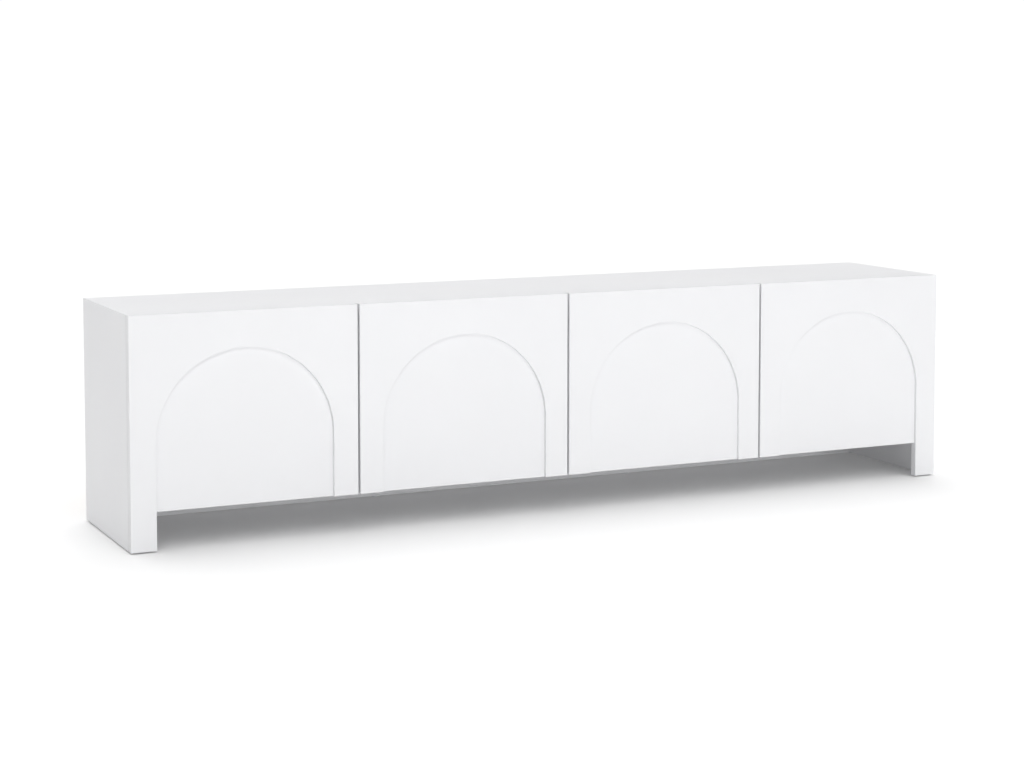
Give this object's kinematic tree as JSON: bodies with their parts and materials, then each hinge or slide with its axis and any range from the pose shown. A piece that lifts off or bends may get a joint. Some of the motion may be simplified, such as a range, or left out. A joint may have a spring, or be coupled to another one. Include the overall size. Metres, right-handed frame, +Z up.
{
  "type": "tv stand with doors",
  "caption": "Long low TV stand: a board cabinet on side panels, with hinged doors that each carry a shallow milled arch; the outer doors extend to the floor.",
  "frame": {"origin": "on the floor, at the middle of the bounding box", "axes": "+X to the right as seen from the front, the doors face -Y, +Z up"},
  "size_m": [2, 0.3726, 0.492],
  "materials": {
    "door_lacquer": "smooth white matt lacquer on fibreboard",
    "board_melamine": "white melamine-faced particle board with white edging",
    "back_hardboard": "thin hardboard, painted white on the inside",
    "nickel_plated_steel": "bright nickel plate",
    "zinc_plated_steel": "satin zinc plate",
    "latch_plastic": "moulded grey plastic",
    "plunger_plastic": "moulded white plastic",
    "glide_plastic": "moulded white plastic"
  },
  "bodies": {
    "carcass": {"top_panel": "board_melamine", "left_side_panel": "board_melamine", "right_side_panel": "board_melamine", "bottom_panel": "board_melamine", "rear_plinth": "board_melamine", "left_partition": "board_melamine", "centre_partition": "board_melamine", "right_partition": "board_melamine", "left_back_panel": "back_hardboard", "right_back_panel": "back_hardboard", "shelf_1": "board_melamine", "shelf_2": "board_melamine", "shelf_3": "board_melamine", "shelf_4": "board_melamine", "left_front_glide": "glide_plastic", "left_rear_glide": "glide_plastic", "left_plinth_glide": "glide_plastic", "right_front_glide": "glide_plastic", "right_rear_glide": "glide_plastic", "right_plinth_glide": "glide_plastic", "hinge_arm_1_bottom": "zinc_plated_steel", "hinge_arm_1_top": "zinc_plated_steel", "latch_housing_1": "latch_plastic", "hinge_arm_2_bottom": "zinc_plated_steel", "hinge_arm_2_top": "zinc_plated_steel", "latch_housing_2": "latch_plastic", "hinge_arm_3_bottom": "zinc_plated_steel", "hinge_arm_3_top": "zinc_plated_steel", "latch_housing_3": "latch_plastic", "hinge_arm_4_bottom": "zinc_plated_steel", "hinge_arm_4_top": "zinc_plated_steel", "latch_housing_4": "latch_plastic"},
    "door_1": {"door_1": "door_lacquer", "strike_plate_1": "zinc_plated_steel", "hinge_cup_1_bottom": "nickel_plated_steel", "hinge_cup_1_top": "nickel_plated_steel"},
    "hinge_link_1_bottom": {"hinge_link_1_bottom": "nickel_plated_steel"},
    "hinge_link_1_top": {"hinge_link_1_top": "nickel_plated_steel"},
    "latch_plunger_1": {"latch_plunger_1": "plunger_plastic"},
    "door_2": {"door_2": "door_lacquer", "strike_plate_2": "zinc_plated_steel", "hinge_cup_2_bottom": "nickel_plated_steel", "hinge_cup_2_top": "nickel_plated_steel"},
    "hinge_link_2_bottom": {"hinge_link_2_bottom": "nickel_plated_steel"},
    "hinge_link_2_top": {"hinge_link_2_top": "nickel_plated_steel"},
    "latch_plunger_2": {"latch_plunger_2": "plunger_plastic"},
    "door_3": {"door_3": "door_lacquer", "strike_plate_3": "zinc_plated_steel", "hinge_cup_3_bottom": "nickel_plated_steel", "hinge_cup_3_top": "nickel_plated_steel"},
    "hinge_link_3_bottom": {"hinge_link_3_bottom": "nickel_plated_steel"},
    "hinge_link_3_top": {"hinge_link_3_top": "nickel_plated_steel"},
    "latch_plunger_3": {"latch_plunger_3": "plunger_plastic"},
    "door_4": {"door_4": "door_lacquer", "strike_plate_4": "zinc_plated_steel", "hinge_cup_4_bottom": "nickel_plated_steel", "hinge_cup_4_top": "nickel_plated_steel"},
    "hinge_link_4_bottom": {"hinge_link_4_bottom": "nickel_plated_steel"},
    "hinge_link_4_top": {"hinge_link_4_top": "nickel_plated_steel"},
    "latch_plunger_4": {"latch_plunger_4": "plunger_plastic"}
  },
  "joints": [
    {"name": "door_1_hinge", "type": "hinge", "parent": "carcass", "child": "door_1", "pos_m": [-0.9938, -0.18125, 0.2875], "axis": [0, 0, -1], "range_deg": [0, 95]},
    {"name": "hinge_link_1_bottom_pivot", "type": "hinge", "parent": "carcass", "child": "hinge_link_1_bottom", "pos_m": [-0.9608, -0.16385, 0.173], "axis": [0, 0, -1], "range_deg": [-26, 0]},
    {"name": "hinge_link_1_top_pivot", "type": "hinge", "parent": "carcass", "child": "hinge_link_1_top", "pos_m": [-0.9608, -0.16385, 0.402], "axis": [0, 0, -1], "range_deg": [-26, 0]},
    {"name": "latch_plunger_1_slide", "type": "slide", "parent": "carcass", "child": "latch_plunger_1", "axis": [0, -1, 0], "range_m": [0, 0.02]},
    {"name": "door_2_hinge", "type": "hinge", "parent": "carcass", "child": "door_2", "pos_m": [-0.49155, -0.18125, 0.2875], "axis": [0, 0, -1], "range_deg": [0, 95]},
    {"name": "hinge_link_2_bottom_pivot", "type": "hinge", "parent": "carcass", "child": "hinge_link_2_bottom", "pos_m": [-0.45855, -0.16385, 0.173], "axis": [0, 0, -1], "range_deg": [-26, 0]},
    {"name": "hinge_link_2_top_pivot", "type": "hinge", "parent": "carcass", "child": "hinge_link_2_top", "pos_m": [-0.45855, -0.16385, 0.402], "axis": [0, 0, -1], "range_deg": [-26, 0]},
    {"name": "latch_plunger_2_slide", "type": "slide", "parent": "carcass", "child": "latch_plunger_2", "axis": [0, -1, 0], "range_m": [0, 0.02]},
    {"name": "door_3_hinge", "type": "hinge", "parent": "carcass", "child": "door_3", "pos_m": [0.49155, -0.18125, 0.2875], "axis": [0, 0, 1], "range_deg": [0, 95]},
    {"name": "hinge_link_3_bottom_pivot", "type": "hinge", "parent": "carcass", "child": "hinge_link_3_bottom", "pos_m": [0.45855, -0.16385, 0.173], "axis": [0, 0, 1], "range_deg": [-26, 0]},
    {"name": "hinge_link_3_top_pivot", "type": "hinge", "parent": "carcass", "child": "hinge_link_3_top", "pos_m": [0.45855, -0.16385, 0.402], "axis": [0, 0, 1], "range_deg": [-26, 0]},
    {"name": "latch_plunger_3_slide", "type": "slide", "parent": "carcass", "child": "latch_plunger_3", "axis": [0, -1, 0], "range_m": [0, 0.02]},
    {"name": "door_4_hinge", "type": "hinge", "parent": "carcass", "child": "door_4", "pos_m": [0.9938, -0.18125, 0.2875], "axis": [0, 0, 1], "range_deg": [0, 95]},
    {"name": "hinge_link_4_bottom_pivot", "type": "hinge", "parent": "carcass", "child": "hinge_link_4_bottom", "pos_m": [0.9608, -0.16385, 0.173], "axis": [0, 0, 1], "range_deg": [-26, 0]},
    {"name": "hinge_link_4_top_pivot", "type": "hinge", "parent": "carcass", "child": "hinge_link_4_top", "pos_m": [0.9608, -0.16385, 0.402], "axis": [0, 0, 1], "range_deg": [-26, 0]},
    {"name": "latch_plunger_4_slide", "type": "slide", "parent": "carcass", "child": "latch_plunger_4", "axis": [0, -1, 0], "range_m": [0, 0.02]}
  ],
  "couplings": [
    {"joint": "hinge_link_1_bottom_pivot", "follows": "door_1_hinge", "ratio": -0.267},
    {"joint": "hinge_link_1_top_pivot", "follows": "door_1_hinge", "ratio": -0.267},
    {"joint": "latch_plunger_1_slide", "follows": "door_1_hinge", "m_per_rad": 0.012057},
    {"joint": "hinge_link_2_bottom_pivot", "follows": "door_2_hinge", "ratio": -0.267},
    {"joint": "hinge_link_2_top_pivot", "follows": "door_2_hinge", "ratio": -0.267},
    {"joint": "latch_plunger_2_slide", "follows": "door_2_hinge", "m_per_rad": 0.012057},
    {"joint": "hinge_link_3_bottom_pivot", "follows": "door_3_hinge", "ratio": -0.267},
    {"joint": "hinge_link_3_top_pivot", "follows": "door_3_hinge", "ratio": -0.267},
    {"joint": "latch_plunger_3_slide", "follows": "door_3_hinge", "m_per_rad": 0.012057},
    {"joint": "hinge_link_4_bottom_pivot", "follows": "door_4_hinge", "ratio": -0.267},
    {"joint": "hinge_link_4_top_pivot", "follows": "door_4_hinge", "ratio": -0.267},
    {"joint": "latch_plunger_4_slide", "follows": "door_4_hinge", "m_per_rad": 0.012057}
  ]
}
